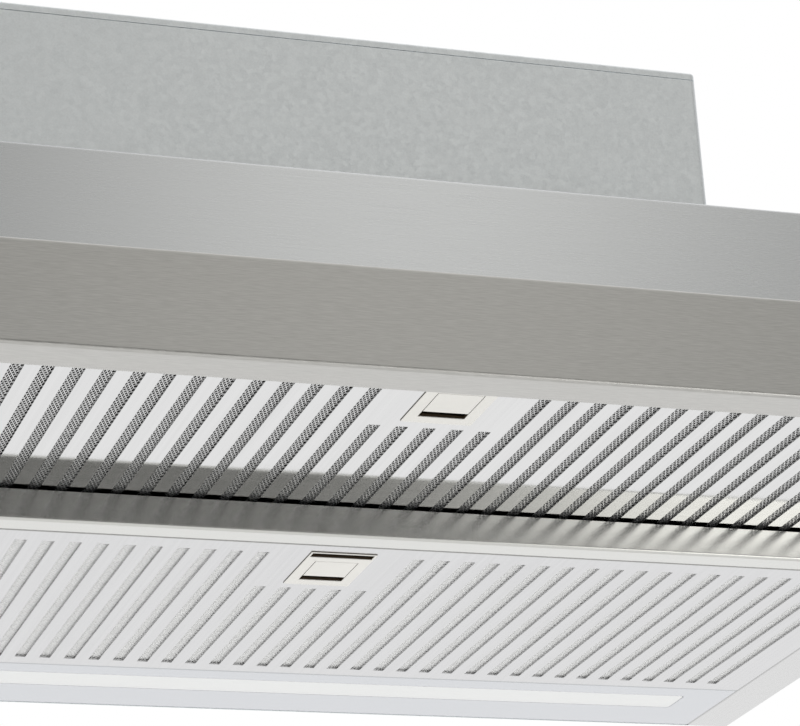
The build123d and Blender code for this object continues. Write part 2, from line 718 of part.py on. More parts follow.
# Keys, each with a stem that guides it in the block
for number, x in enumerate(key_places, start=1):
    with BuildPart() as key:
        with BuildSketch(at_y(y_fascia + KEY_BODY)):
            with Locations((x, key_middle)):
                RectangleRounded(KEY_WIDTH, KEY_HEIGHT, KEY_CORNER)
        extrude(amount=KEY_BODY + KEY_PROUD)
        fillet(key.faces().sort_by(Axis.Y)[0].edges(), radius=KEY_CORNER / 2)
        with BuildSketch(at_y(y_fascia + KEY_BODY + KEY_STEM - KEY_CLEARANCE)):
            with Locations((x, key_middle)):
                Rectangle(KEY_STEM_WIDTH, KEY_STEM_HEIGHT)
        extrude(amount=KEY_STEM - KEY_CLEARANCE)
    save(key, f"key_{number}")

# Telescopic slides: three channels nested on each side of the tray
z_slide = (z_tray + z_cover) / 2
middle_height = SLIDE_HEIGHT - 2 * (SLIDE_WALL + SLIDE_GAP)
inner_height = middle_height - 2 * (SLIDE_WALL + SLIDE_GAP)
x_middle_web = x_inner - SLIDE_WALL - SLIDE_GAP
outer_rear = y_front + SLIDE_SETBACK + SLIDE_OUTER_LENGTH
middle_rear = y_front + SLIDE_SETBACK - TRAVEL / 2 + SLIDE_MIDDLE_LENGTH


def slide_section(sign, web, edge, height, plane):
    """Channel with its web's outer face at web and its open edge at edge."""
    wall = SLIDE_WALL / 2 if edge > web else -SLIDE_WALL / 2
    rise = (height - SLIDE_WALL) / 2
    line = [
        (sign * edge, z_slide + rise),
        (sign * (web + wall), z_slide + rise),
        (sign * (web + wall), z_slide - rise),
        (sign * edge, z_slide - rise),
    ]
    return folded(line, plane, SLIDE_WALL)


for side, sign in SIDES:
    with BuildPart() as slide_outer:
        section = slide_section(sign, x_inner, x_inner - SLIDE_REACH, SLIDE_HEIGHT, at_y(outer_rear))
        extrude(section, amount=SLIDE_OUTER_LENGTH)
    save(slide_outer, f"slide_outer_{side}")

    with BuildPart() as slide_middle:
        section = slide_section(sign, x_middle_web, x_inner - SLIDE_REACH, middle_height, at_y(middle_rear))
        extrude(section, amount=SLIDE_MIDDLE_LENGTH)
    save(slide_middle, f"slide_middle_{side}")

    with BuildPart() as slide_inner:
        inner_edge = x_middle_web - SLIDE_WALL - SLIDE_GAP
        section = slide_section(sign, x_tray, inner_edge, inner_height, at_y(y_tray_rear))
        extrude(section, amount=tray_length - SLIDE_SETBACK)
    save(slide_inner, f"slide_inner_{side}")

# Screws of the fascia
fascia_screw_places = [
    Plane(origin=(x, y_lip + SHEET, z_fascia_screw), z_dir=(0, 1, 0)) for x in fascia_screw_spots
]
save_screws("fascia_screws", fascia_screw_places)

# Blower box: folded wall with a foot flange and a turned-in top edge
with BuildPart() as blower_box:
    with BuildSketch(at_z(0)):
        with Locations((0, box_middle)):
            RectangleRounded(BOX_WIDTH, BOX_DEPTH, BOX_CORNER)
            RectangleRounded(box_inner_width, box_inner_depth, BOX_CORNER - SHEET, mode=Mode.SUBTRACT)
    extrude(amount=z_box_top)
    with BuildSketch(at_z(0)):
        with Locations((0, box_middle)):
            Rectangle(BOX_WIDTH + 2 * BOX_FLANGE, BOX_DEPTH + 2 * BOX_FLANGE)
            Rectangle(box_inner_width, box_inner_depth, mode=Mode.SUBTRACT)
        with Locations(*box_screw_spots):
            Circle(screw_hole, mode=Mode.SUBTRACT)
    extrude(amount=SHEET)
    with BuildSketch(at_z(z_box_top)):
        with Locations((0, box_middle)):
            RectangleRounded(BOX_WIDTH, BOX_DEPTH, BOX_CORNER)
            Rectangle(BOX_WIDTH - 2 * BOX_FLANGE, BOX_DEPTH - 2 * BOX_FLANGE, mode=Mode.SUBTRACT)
        with Locations((0, box_middle)):
            with GridLocations(BOX_WIDTH - BOX_FLANGE, BOX_DEPTH - 2 * LID_FIXING_INSET, 2, 2):
                Circle(screw_hole, mode=Mode.SUBTRACT)
    extrude(amount=-SHEET)
    top_rim = blower_box.faces().sort_by(Axis.Z)[-1].outer_wire().edges()
    fillet(top_rim, radius=BOX_RIM_ROUND)
save(blower_box, "blower_box")
save_screws("box_screws", [Plane(origin=(x, y, SHEET)) for x, y in box_screw_spots])

# Lid of the box: a shallow pan, flush with the walls
collar_radius = COLLAR_DIAMETER / 2
collar_bore = collar_radius - COLLAR_WALL
collar_screw_radius = collar_radius + COLLAR_FLANGE / 2
with BuildPart() as box_lid:
    with BuildSketch(at_z(z_box_top)):
        with Locations((0, box_middle)):
            RectangleRounded(BOX_WIDTH, BOX_DEPTH, BOX_CORNER)
    extrude(amount=LID_SKIRT)
    fillet(box_lid.faces().sort_by(Axis.Z)[-1].edges(), radius=LID_EDGE)
    with BuildSketch(at_z(z_box_top)):
        with Locations((0, box_middle)):
            RectangleRounded(box_inner_width, box_inner_depth, BOX_CORNER - SHEET)
    extrude(amount=LID_SKIRT - SHEET, mode=Mode.SUBTRACT)
    with BuildSketch(at_z(z_lid)):
        with Locations((0, COLLAR_Y)):
            Circle(collar_bore)
        with Locations((0, COLLAR_Y)):
            with PolarLocations(collar_screw_radius, COLLAR_SCREWS, start_angle=COLLAR_SCREW_TURN):
                Circle(screw_hole)
        with Locations((0, box_middle)):
            with GridLocations(BOX_WIDTH - BOX_FLANGE, BOX_DEPTH - 2 * LID_FIXING_INSET, 2, 2):
                Circle(screw_hole)
        with Locations((terminal_x, terminal_y)):
            Circle(GLAND_TUBE + SEAM / 2)
    extrude(amount=-SHEET, mode=Mode.SUBTRACT)
save(box_lid, "box_lid")
lid_top = Plane(origin=(0, box_middle, z_lid))
lid_screw_grid = GridLocations(BOX_WIDTH - BOX_FLANGE, BOX_DEPTH - 2 * LID_FIXING_INSET, 2, 2)
save_screws("lid_screws", [lid_top * spot for spot in lid_screw_grid.local_locations])

# Outlet collar: flange, spigot and the seat that the flaps fall on
z_seat = z_lid + SEAT_LEVEL
z_flap = z_seat + FLAP_LIFT
z_pin = z_flap + KNUCKLE_RADIUS + SEAM / 2
with BuildPart() as outlet_collar:
    with BuildSketch(Plane(origin=(0, COLLAR_Y, 0), x_dir=(1, 0, 0), z_dir=(0, -1, 0))):
        with BuildLine():
            Polyline(
                (collar_bore, z_lid),
                (collar_radius + COLLAR_FLANGE, z_lid),
                (collar_radius + COLLAR_FLANGE, z_lid + COLLAR_FLANGE_THICKNESS),
                (collar_radius, z_lid + COLLAR_FLANGE_THICKNESS),
                (collar_radius, z_lid + COLLAR_HEIGHT),
                (collar_bore, z_lid + COLLAR_HEIGHT),
                (collar_bore, z_seat),
                (collar_bore - SEAT_WIDTH, z_seat),
                (collar_bore - SEAT_WIDTH, z_seat - SEAT_THICKNESS),
                (collar_bore, z_seat - SEAT_THICKNESS),
                close=True,
            )
        make_face()
    revolve(axis=Axis((0, COLLAR_Y, 0), (0, 0, 1)))
    with BuildSketch(at_x(0)):
        with Locations((COLLAR_Y, z_pin)):
            Circle(PIN_RADIUS)
    extrude(amount=collar_bore + PIN_EMBED, both=True, mode=Mode.SUBTRACT)
    with BuildSketch(at_z(z_lid)):
        with Locations((0, COLLAR_Y)):
            with PolarLocations(collar_screw_radius, COLLAR_SCREWS, start_angle=COLLAR_SCREW_TURN):
                Circle(screw_hole)
    extrude(amount=COLLAR_FLANGE_THICKNESS, mode=Mode.SUBTRACT)
save(outlet_collar, "outlet_collar")
collar_top = Plane(origin=(0, COLLAR_Y, z_lid + COLLAR_FLANGE_THICKNESS))
collar_screw_circle = PolarLocations(collar_screw_radius, COLLAR_SCREWS, start_angle=COLLAR_SCREW_TURN)
save_screws("collar_screws", [collar_top * spot for spot in collar_screw_circle.local_locations])

# Hinge pin of the damper, held in the collar's wall
with BuildPart() as damper_pin:
    with BuildSketch(at_x(0)):
        with Locations((COLLAR_Y, z_pin)):
            Circle(PIN_RADIUS)
    extrude(amount=collar_bore + PIN_EMBED, both=True)
save(damper_pin, "damper_pin")

# Damper flaps: half discs whose knuckles share the pin in turn
knuckle_step = KNUCKLE_LENGTH + KNUCKLE_GAP
knuckle_places = [knuckle_step * (i - (KNUCKLE_COUNT - 1) / 2) for i in range(KNUCKLE_COUNT)]
for flap_name, sign in (("front", -1), ("rear", 1)):
    own = knuckle_places[0::2] if sign < 0 else knuckle_places[1::2]
    other = knuckle_places[1::2] if sign < 0 else knuckle_places[0::2]
    with BuildPart() as flap:
        with BuildSketch(at_z(z_flap)):
            with Locations((0, COLLAR_Y)):
                Circle(collar_bore - FLAP_CLEARANCE)
            with Locations((0, COLLAR_Y - sign * (collar_bore - SEAM))):
                Rectangle(2 * collar_bore, 2 * collar_bore, mode=Mode.SUBTRACT)
            with Locations(*[(x, COLLAR_Y) for x in other]):
                Rectangle(
                    KNUCKLE_LENGTH + 2 * KNUCKLE_GAP, 2 * (KNUCKLE_RADIUS + KNUCKLE_GAP), mode=Mode.SUBTRACT
                )
        extrude(amount=FLAP_THICKNESS)
        for x in own:
            with BuildSketch(at_x(x - KNUCKLE_LENGTH / 2)):
                with Locations((COLLAR_Y, z_pin)):
                    Circle(KNUCKLE_RADIUS)
            extrude(amount=KNUCKLE_LENGTH)
        with BuildSketch(at_x(0)):
            with Locations((COLLAR_Y, z_pin)):
                Circle(KNUCKLE_BORE)
        extrude(amount=collar_bore, both=True, mode=Mode.SUBTRACT)
    save(flap, f"damper_flap_{flap_name}")

# Volute: three arcs of growing radius that end in the outlet throat
y_throat = COLLAR_Y + THROAT / 2
second_radius = SCROLL_RADIUS + SCROLL_STEP
third_radius = second_radius + SCROLL_STEP
y_axis = y_throat - third_radius - SCROLL_STEP
z_axis = -AXIS_DROP
scroll_x = SCROLL_WIDTH / 2
wheel_plane = Plane(origin=(0, y_axis, z_axis), x_dir=(0, 1, 0), z_dir=(1, 0, 0))


def scroll_path():
    """Middle line of the volute wall, from the tongue side of the throat round to the back."""
    second_centre = (y_axis + SCROLL_STEP, z_axis)
    third_centre = (y_axis + SCROLL_STEP, z_axis + SCROLL_STEP)
    with BuildLine() as path:
        first = CenterArc((y_axis, z_axis), SCROLL_RADIUS, TONGUE_ANGLE, 180 - TONGUE_ANGLE)
        CenterArc(second_centre, second_radius, 180, 90)
        third = CenterArc(third_centre, third_radius, 270, 90)
        Line(third @ 1, (y_throat, z_lid_under))
        Line((y_throat - THROAT, z_lid_under), first @ 0)
    return path.line


with BuildPart() as scroll_wrap:
    with BuildSketch(at_x(-scroll_x)):
        with BuildLine():
            add(scroll_path())
        trace(line_width=SCROLL_WALL)
    extrude(amount=SCROLL_WIDTH)
    with BuildSketch(at_z(z_lid_under)):
        with Locations((0, COLLAR_Y)):
            Rectangle(SCROLL_WIDTH, 2 * THROAT)
    extrude(amount=LID_SKIRT, mode=Mode.SUBTRACT)
save(scroll_wrap, "scroll_wrap")

# Cheeks of the volute with rolled inlet rims
for side, sign in SIDES:
    with BuildPart() as cheek:
        with BuildSketch(at_x(sign * scroll_x)):
            with BuildLine():
                add(scroll_path())
                Line((y_throat, z_lid_under), (y_throat - THROAT, z_lid_under))
            make_face()
            with Locations((y_axis, z_axis)):
                Circle(INLET_RADIUS, mode=Mode.SUBTRACT)
        extrude(amount=sign * SCROLL_WALL)
        with BuildSketch(at_x(sign * scroll_x)):
            with Locations((y_axis, z_axis)):
                Circle(INLET_RADIUS + SCROLL_WALL)
                Circle(INLET_RADIUS, mode=Mode.SUBTRACT)
        extrude(amount=-sign * (scroll_x - WHEEL_WIDTH / 2 - INLET_GAP))
    save(cheek, f"scroll_cheek_{side}")

# Blower wheel: forward-curved blades between two rings and a middle disc
blade_root = WHEEL_RADIUS - BLADE_DEPTH
with BuildSketch(Plane.XY) as blade:
    with BuildLine():
        tip = Vector(WHEEL_RADIUS, 0).rotate(Axis.Z, BLADE_SWEEP)
        belly = Vector((blade_root + WHEEL_RADIUS) / 2, -BLADE_CAMBER).rotate(Axis.Z, BLADE_SWEEP / 2)
        ThreePointArc((blade_root, 0), belly, tip)
    trace(line_width=BLADE_THICKNESS)
with BuildPart() as impeller:
    with BuildSketch(wheel_plane.offset(-WHEEL_WIDTH / 2)):
        with PolarLocations(0, BLADE_COUNT):
            add(blade.sketch)
    extrude(amount=WHEEL_WIDTH)
    with BuildSketch(wheel_plane.offset(-WHEEL_WIDTH / 2)):
        Circle(WHEEL_RADIUS + BLADE_THICKNESS)
        Circle(blade_root - BLADE_THICKNESS, mode=Mode.SUBTRACT)
    extrude(amount=WHEEL_RING)
    with BuildSketch(wheel_plane.offset(WHEEL_WIDTH / 2)):
        Circle(WHEEL_RADIUS + BLADE_THICKNESS)
        Circle(blade_root - BLADE_THICKNESS, mode=Mode.SUBTRACT)
    extrude(amount=-WHEEL_RING)
    with BuildSketch(wheel_plane):
        Circle(WHEEL_RADIUS)
    extrude(amount=WHEEL_RING / 2, both=True)
    with BuildSketch(wheel_plane.offset(WHEEL_RING / 2)):
        Circle(HUB_RADIUS)
    extrude(amount=HUB_LENGTH)
    with BuildSketch(wheel_plane):
        Circle(SHAFT_RADIUS)
    extrude(amount=HUB_LENGTH + WHEEL_RING, both=True, mode=Mode.SUBTRACT)
save(impeller, "impeller")

# Motor shaft, fixed in the hub
motor_back = -(scroll_x + SCROLL_WALL)
with BuildPart() as motor_shaft:
    with BuildSketch(wheel_plane.offset(motor_back + SHAFT_END)):
        Circle(SHAFT_RADIUS)
    extrude(amount=HUB_LENGTH + WHEEL_RING / 2 + SHAFT_END - (motor_back + SHAFT_END))
save(motor_shaft, "motor_shaft")

# Motor inside the wheel, on the left
with BuildPart() as motor:
    with BuildSketch(wheel_plane.offset(motor_back)):
        Circle(MOTOR_RADIUS)
    extrude(amount=-motor_back - MOTOR_GAP)
    fillet(motor.faces().sort_by(Axis.X)[-1].edges(), radius=MOTOR_EDGE)
    with BuildSketch(wheel_plane.offset(-MOTOR_GAP)):
        Circle(MOTOR_NOSE_RADIUS)
    extrude(amount=MOTOR_NOSE)
    with BuildSketch(wheel_plane.offset(motor_back + SHAFT_END - SEAM)):
        Circle(SHAFT_RADIUS + SHAFT_CLEARANCE)
    extrude(amount=-motor_back, mode=Mode.SUBTRACT)
save(motor, "motor")

# Bracket that carries the motor across the left inlet
bracket_inner = INLET_RADIUS + SCROLL_WALL + SEAM
with BuildPart() as motor_bracket:
    with BuildSketch(wheel_plane.offset(motor_back)):
        Circle(bracket_inner + BRACKET_RING)
        Circle(bracket_inner, mode=Mode.SUBTRACT)
        Circle(BRACKET_HUB)
        with PolarLocations(bracket_inner / 2, BRACKET_ARMS, start_angle=90):
            Rectangle(bracket_inner + BRACKET_RING, BRACKET_ARM)
    extrude(amount=-BRACKET_THICKNESS)
save(motor_bracket, "motor_bracket")

# Terminal box under the lid, closed by a cover
terminal_low = z_lid_under - TERMINAL_SIZE[2]
with BuildPart() as terminal_box:
    with BuildSketch(at_z(terminal_low)):
        with Locations((terminal_x, terminal_y)):
            RectangleRounded(TERMINAL_SIZE[0], TERMINAL_SIZE[1], TERMINAL_CORNER)
    extrude(amount=TERMINAL_SIZE[2])
    offset(amount=-TERMINAL_WALL, openings=terminal_box.faces().sort_by(Axis.Z)[0])
    with BuildSketch(at_z(z_lid_under)):
        with Locations((terminal_x, terminal_y)):
            Circle(GLAND_TUBE + SEAM / 2)
    extrude(amount=-TERMINAL_WALL, mode=Mode.SUBTRACT)
save(terminal_box, "terminal_box")

with BuildPart() as terminal_cover:
    with BuildSketch(at_z(terminal_low)):
        with Locations((terminal_x, terminal_y)):
            RectangleRounded(TERMINAL_SIZE[0], TERMINAL_SIZE[1], TERMINAL_CORNER)
    extrude(amount=-TERMINAL_WALL)
save(terminal_cover, "terminal_cover")

# Cable gland through the lid into the terminal box
with BuildPart() as cable_gland:
    with BuildSketch(at_z(z_lid)):
        with Locations((terminal_x, terminal_y)):
            RegularPolygon(GLAND_FLANGE, 6)
    extrude(amount=GLAND_HEAD)
    with BuildSketch(at_z(z_lid)):
        with Locations((terminal_x, terminal_y)):
            Circle(GLAND_TUBE)
    extrude(amount=-GLAND_TAIL)
    with BuildSketch(at_z(z_lid + GLAND_HEAD)):
        with Locations((terminal_x, terminal_y)):
            Circle(GLAND_BORE)
    extrude(amount=-GLAND_HEAD, mode=Mode.SUBTRACT)
    with BuildSketch(at_z(z_lid)):
        with Locations((terminal_x, terminal_y)):
            Circle(GLAND_TAIL_BORE)
    extrude(amount=-GLAND_TAIL, mode=Mode.SUBTRACT)
save(cable_gland, "cable_gland")

# Motor capacitor, standing from the lid
with BuildPart() as capacitor:
    with BuildSketch(at_z(z_lid_under)):
        with Locations((BOX_WIDTH / 2 - CAPACITOR_FROM_SIDE, box_rear - CAPACITOR_FROM_REAR)):
            Circle(CAPACITOR_RADIUS)
    extrude(amount=-CAPACITOR_LENGTH)
    fillet(capacitor.faces().sort_by(Axis.Z)[0].edges(), radius=CAPACITOR_EDGE)
save(capacitor, "capacitor")
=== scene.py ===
import bmesh
import bpy
import math
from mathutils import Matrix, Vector


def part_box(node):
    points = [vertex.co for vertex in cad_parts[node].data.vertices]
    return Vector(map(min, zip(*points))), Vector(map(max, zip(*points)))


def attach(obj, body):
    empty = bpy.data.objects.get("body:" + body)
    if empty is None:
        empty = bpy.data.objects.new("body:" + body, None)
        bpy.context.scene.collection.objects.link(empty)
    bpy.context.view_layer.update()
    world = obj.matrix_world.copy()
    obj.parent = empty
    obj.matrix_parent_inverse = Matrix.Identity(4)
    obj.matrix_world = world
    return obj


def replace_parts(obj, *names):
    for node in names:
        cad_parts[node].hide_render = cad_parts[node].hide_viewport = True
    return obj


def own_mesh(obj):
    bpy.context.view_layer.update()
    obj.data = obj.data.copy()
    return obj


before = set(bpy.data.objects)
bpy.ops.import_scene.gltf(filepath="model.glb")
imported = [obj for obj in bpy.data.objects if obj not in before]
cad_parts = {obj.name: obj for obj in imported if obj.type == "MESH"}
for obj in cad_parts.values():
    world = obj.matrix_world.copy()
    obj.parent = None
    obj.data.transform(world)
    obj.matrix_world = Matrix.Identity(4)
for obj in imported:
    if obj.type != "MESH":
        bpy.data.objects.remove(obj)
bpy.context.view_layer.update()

MM = 0.001

# Real sizes of what is modelled here, in millimetres
DIAMOND_ACROSS = 1.65  # short way of one opening in the expanded mesh
DIAMOND_ALONG = 4.0  # long way, which runs with the slots
STRAND = 0.21  # from the middle of a strand to its edge
CORE_GAP = 0.8  # from the pan's inside to the pad behind the front layer
CORE_THICKNESS = 1.2
LATCH_POCKET_HALF = 15.9  # from the middle of the hood to the side of the pocket in the mesh
LATCH_POCKET_DEPTH = 51.9  # from the front of the mesh to the rear of the pocket
SPRING_SPAN = 18.0
SPRING_THICKNESS = 0.5
SPRING_FACETS = 72  # round the full circle that the spring is cut from
SCREW_HEAD = 3.5  # radius
SCREW_RISE = 2.0
SCREW_CROWN = 1.3  # how far the rounded edge of the head reaches in
CROSS_LENGTH = 3.6
CROSS_WIDTH = 0.9
CROSS_DEPTH = 1.2
HAIRLINE_DEPTH = 0.02
MOULD_GRAIN_DEPTH = 0.03
MERGE = 0.02  # ends of strands nearer than this become one
CUT_TOLERANCE = 0.001

# Screws, by half their spacing across and along, the middle of their pattern and the face they stand on
BOX_MIDDLE = 3.25
LONG_SIDE_SCREWS = (100, 116)
SHORT_SIDE_SCREWS = (206, 55)
LID_SCREWS = (194, 60)
COLLAR_MIDDLE = 22.0
COLLAR_SCREWS = (46.49, 46.49)
BOX_FLANGE = 0.8
LID_FACE = 87.0
COLLAR_FLANGE = 89.5

SMOOTH_ANGLE = math.radians(35)
NOISE_LOW, NOISE_HIGH = 0.3, 0.7  # most values of a noise lie between these


def colour(text):
    """Linear colour from an sRGB hex value."""
    parts = [int(text[i : i + 2], 16) / 255 for i in (1, 3, 5)]
    return [c / 12.92 if c <= 0.04045 else ((c + 0.055) / 1.055) ** 2.4 for c in parts] + [1.0]


def add(tree, kind, inputs=None, **settings):
    """Add a node; an input takes a value or another node's output."""
    made = tree.nodes.new(kind)
    for name, value in settings.items():
        setattr(made, name, value)
    for name, value in (inputs or {}).items():
        if isinstance(value, bpy.types.NodeSocket):
            tree.links.new(value, made.inputs[name])
        else:
            made.inputs[name].default_value = value
    return made


def start(name, roughness, metallic=0.0):
    """New material with its shader and the object's own coordinates."""
    material = bpy.data.materials.new(name)
    material.use_nodes = True
    tree = material.node_tree
    shader = tree.nodes["Principled BSDF"]
    shader.inputs["Roughness"].default_value = roughness
    shader.inputs["Metallic"].default_value = metallic
    place = add(tree, "ShaderNodeTexCoord").outputs["Object"]
    return material, tree, shader, place


def stretched(tree, place, sizes):
    """Coordinates in which one unit is the given size in millimetres along each axis."""
    scale = [1 / (MM * size) for size in sizes]
    return add(tree, "ShaderNodeMapping", {"Vector": place, "Scale": scale}).outputs["Vector"]


def ramp(tree, value, dark, light, low=NOISE_LOW, high=NOISE_HIGH):
    """Tone between two colours as a value goes from low to high."""
    made = add(tree, "ShaderNodeValToRGB", {"Fac": value})
    for element, position, tint in zip(made.color_ramp.elements, (low, high), (dark, light)):
        element.position = position
        element.color = colour(tint)
    return made.outputs["Color"]


def noise(tree, place, sizes, detail):
    """Noise whose grains are the given size in millimetres along each axis."""
    grains = {"Vector": stretched(tree, place, sizes), "Scale": 1.0, "Detail": detail}
    return add(tree, "ShaderNodeTexNoise", grains).outputs["Fac"]


def span(tree, value, low, high, first=NOISE_LOW, last=NOISE_HIGH):
    """Number that goes from low to high while the value goes from first to last."""
    limits = {"Value": value, "From Min": first, "From Max": last, "To Min": low, "To Max": high}
    return add(tree, "ShaderNodeMapRange", limits).outputs["Result"]


def blend(tree, factor, first, second):
    """Number that goes from the first to the second as the factor goes from 0 to 1."""
    inputs = {"Factor": factor, "A": first, "B": second}
    return add(tree, "ShaderNodeMix", inputs, data_type="FLOAT").outputs["Result"]


def reckon(tree, operation, *values):
    """Result of one sum on the given values."""
    return add(tree, "ShaderNodeMath", dict(enumerate(values)), operation=operation).outputs["Value"]


def brushed_steel(name, dark, light, roughness, grain, along, relief, draw=0.8):
    """Stainless sheet rubbed one way with a belt: fine hairlines, and reflections drawn out across them."""
    material, tree, shader, place = start(name, roughness, 1.0)
    shader.inputs["Anisotropic"].default_value = draw
    shader.inputs["Anisotropic Rotation"].default_value = 0.25
    lines = noise(tree, place, grain, 4.0)
    tree.links.new(ramp(tree, lines, dark, light), shader.inputs["Base Color"])
    tree.links.new(span(tree, lines, roughness * 0.9, roughness * 1.1), shader.inputs["Roughness"])
    raised = {"Height": lines, "Strength": relief, "Distance": HAIRLINE_DEPTH * MM}
    tree.links.new(add(tree, "ShaderNodeBump", raised).outputs["Normal"], shader.inputs["Normal"])
    way = add(tree, "ShaderNodeCombineXYZ", {"X": along[0], "Y": along[1], "Z": along[2]})
    tree.links.new(way.outputs["Vector"], shader.inputs["Tangent"])
    return material


# Stainless of each place: short warm hairlines on the fascia, longer, finer and paler ones on the casing
SHORT_LINES = (7, 0.32, 0.32)
LONG_LINES = (45, 0.3, 0.3)
LINES_TO_BACK = (0.3, 45, 0.3)
ACROSS = (1, 0, 0)
TO_BACK = (0, 1, 0)
fascia_steel = brushed_steel(
    "brushed_stainless_fascia", "#bebdba", "#d2d1ce", 0.34, SHORT_LINES, ACROSS, 0.25, draw=0.3
)
band_steel = brushed_steel("satin_stainless_casing", "#dcdee0", "#dfe1e3", 0.26, LONG_LINES, ACROSS, 0.015)
rail_steel = brushed_steel("brushed_stainless_rail", "#dfdfdc", "#e5e5e2", 0.22, LONG_LINES, ACROSS, 0.08)
tray_steel = brushed_steel("satin_stainless_tray", "#d7d9dd", "#dddfe3", 0.22, LONG_LINES, ACROSS, 0.05)
side_steel = brushed_steel("satin_stainless_sides", "#d5d5d5", "#dcdcdc", 0.28, LINES_TO_BACK, TO_BACK, 0.08)


def galvanised_sheet(name):
    """Hot-dip zinc: small crystals that differ a little in tone and gloss, under a dusty bloom, cool grey."""
    material, tree, shader, place = start(name, 0.42, 1.0)
    spot = add(tree, "ShaderNodeTexNoise", {"Vector": stretched(tree, place, (5, 5, 5)), "Scale": 1.0})
    nudge = add(tree, "ShaderNodeVectorMath", {0: spot.outputs["Color"], "Scale": 1.2}, operation="SCALE")
    cells = {0: stretched(tree, place, (2.2, 2.2, 2.2)), 1: nudge.outputs["Vector"]}
    grown = add(tree, "ShaderNodeVectorMath", cells)
    crystals = add(tree, "ShaderNodeTexVoronoi", {"Vector": grown.outputs["Vector"], "Scale": 1.0})
    shade = add(tree, "ShaderNodeSeparateColor", {"Color": crystals.outputs["Color"]})
    dust = noise(tree, place, (0.9, 0.9, 0.9), 3.0)
    mottle = blend(tree, 0.8, shade.outputs["Red"], dust)
    tone = ramp(tree, mottle, "#e9edef", "#f8fcfe", 0.15, 0.85)
    tree.links.new(tone, shader.inputs["Base Color"])
    tree.links.new(span(tree, shade.outputs["Green"], 0.38, 0.48, 0.0, 1.0), shader.inputs["Roughness"])
    return material


zinc_sheet = galvanised_sheet("galvanised_sheet")


def rolled_aluminium(name, dark, light, roughness):
    """Bright rolled aluminium: close to a mirror, with faint lines from the rolls and a haze of handling."""
    material, tree, shader, place = start(name, roughness, 1.0)
    rolls = noise(tree, place, (1.5, 160, 160), 3.0)
    haze = noise(tree, place, (60, 60, 60), 3.0)
    tree.links.new(ramp(tree, rolls, dark, light), shader.inputs["Base Color"])
    tree.links.new(span(tree, haze, roughness * 0.7, roughness * 1.4), shader.inputs["Roughness"])
    return material


# The fixed filter's sheet is the tray's aluminium, painted a little darker as painted shade, and hazier in
# its gloss
tray_sheet = rolled_aluminium("bright_aluminium", "#d9d9d9", "#dedede", 0.06)
fixed_sheet = rolled_aluminium("bright_aluminium_hazed_painted_darker", "#d1d1d2", "#d6d6d7", 0.14)


def mesh_wire(name, dark, light, metallic):
    """Slit and drawn aluminium foil: bright strands with a painted glint, a tone that changes at random as if
    each were turned a little differently to the light.
    """
    material, tree, shader, place = start(name, 0.25, metallic)
    painted_glint = noise(tree, place, (1.1, 2.7, 1.1), 2.0)
    tree.links.new(ramp(tree, painted_glint, dark, light, 0.35, 0.65), shader.inputs["Base Color"])
    tree.links.new(span(tree, painted_glint, 0.35, 0.18), shader.inputs["Roughness"])
    return material


tray_wire = mesh_wire("expanded_aluminium", "#f0f0f0", "#ffffff", 0.75)
fixed_wire = mesh_wire("expanded_aluminium_matt", "#f8f8f8", "#ffffff", 0.15)


def mesh_pad(name, dark, light):
    """The layers behind: the same mesh seen in depth, strands about 1.3 mm apart over openings in shade."""
    material, tree, shader, place = start(name, 0.5)
    cells = {"Vector": stretched(tree, place, (1.3, 2.8, 1.3)), "Scale": 1.0}
    net = add(tree, "ShaderNodeTexVoronoi", cells, feature="DISTANCE_TO_EDGE").outputs["Distance"]
    tree.links.new(ramp(tree, net, light, dark, 0.08, 0.25), shader.inputs["Base Color"])
    return material


# Painted light and shade: both filters hold the same mesh, but the fixed filter's pad is painted white as
# painted light and the tray's openings near black as painted shade
tray_pad = mesh_pad("mesh_pad_in_shade", "#060606", "#3c3d3d")
fixed_pad = mesh_pad("mesh_pad_painted_lit", "#f4f4f4", "#ffffff")


def moulded(name, base, paler, roughness, grain_size, relief, inside=None):
    """Injection-moulded plastic: one colour right through and a fine sparked grain; the inside of a recess
    can be painted another colour, a painted shade that darkens the part above its open face."""
    material, tree, shader, place = start(name, roughness)
    tone = ramp(tree, noise(tree, place, (25, 25, 25), 2.0), base, paler)
    if inside:
        # Painted shade: from just above the open face, the inside of the part turns to the recess colour
        whole = add(tree, "ShaderNodeTexCoord").outputs["Generated"]
        depth = add(tree, "ShaderNodeSeparateXYZ", {"Vector": whole}).outputs["Z"]
        tones = {"Factor": span(tree, depth, 0.0, 1.0, 0.015, 0.05), "A": tone, "B": colour(inside)}
        tone = add(tree, "ShaderNodeMix", tones, data_type="RGBA").outputs["Result"]
    tree.links.new(tone, shader.inputs["Base Color"])
    grain = noise(tree, place, (grain_size,) * 3, 2.0)
    raised = {"Height": grain, "Strength": relief, "Distance": MOULD_GRAIN_DEPTH * MM}
    tree.links.new(add(tree, "ShaderNodeBump", raised).outputs["Normal"], shader.inputs["Normal"])
    return material


# The inside of the latch recesses is painted dark brown, as painted shade
cream_abs = moulded("cream_abs", "#eeece7", "#f2f0eb", 0.38, 0.6, 0.12, inside="#3a2f22")
black_abs = moulded("black_abs", "#1d1e1f", "#212223", 0.45, 0.5, 0.5)
white_abs = moulded("white_abs", "#e4e4e0", "#e8e8e4", 0.4, 0.6, 0.2)
key_gloss = moulded("black_gloss_abs", "#18191a", "#1c1d1e", 0.16, 1.2, 0.05)


def opal_lens(name):
    """Opal acrylic over the light strip, unlit: even, soft white with a faint gloss."""
    material, tree, shader, place = start(name, 0.35)
    speck = noise(tree, place, (0.5, 0.5, 0.5), 1.0)
    tree.links.new(ramp(tree, speck, "#f3f4f4", "#f7f8f8"), shader.inputs["Base Color"])
    return material


lens_acrylic = opal_lens("opal_acrylic")


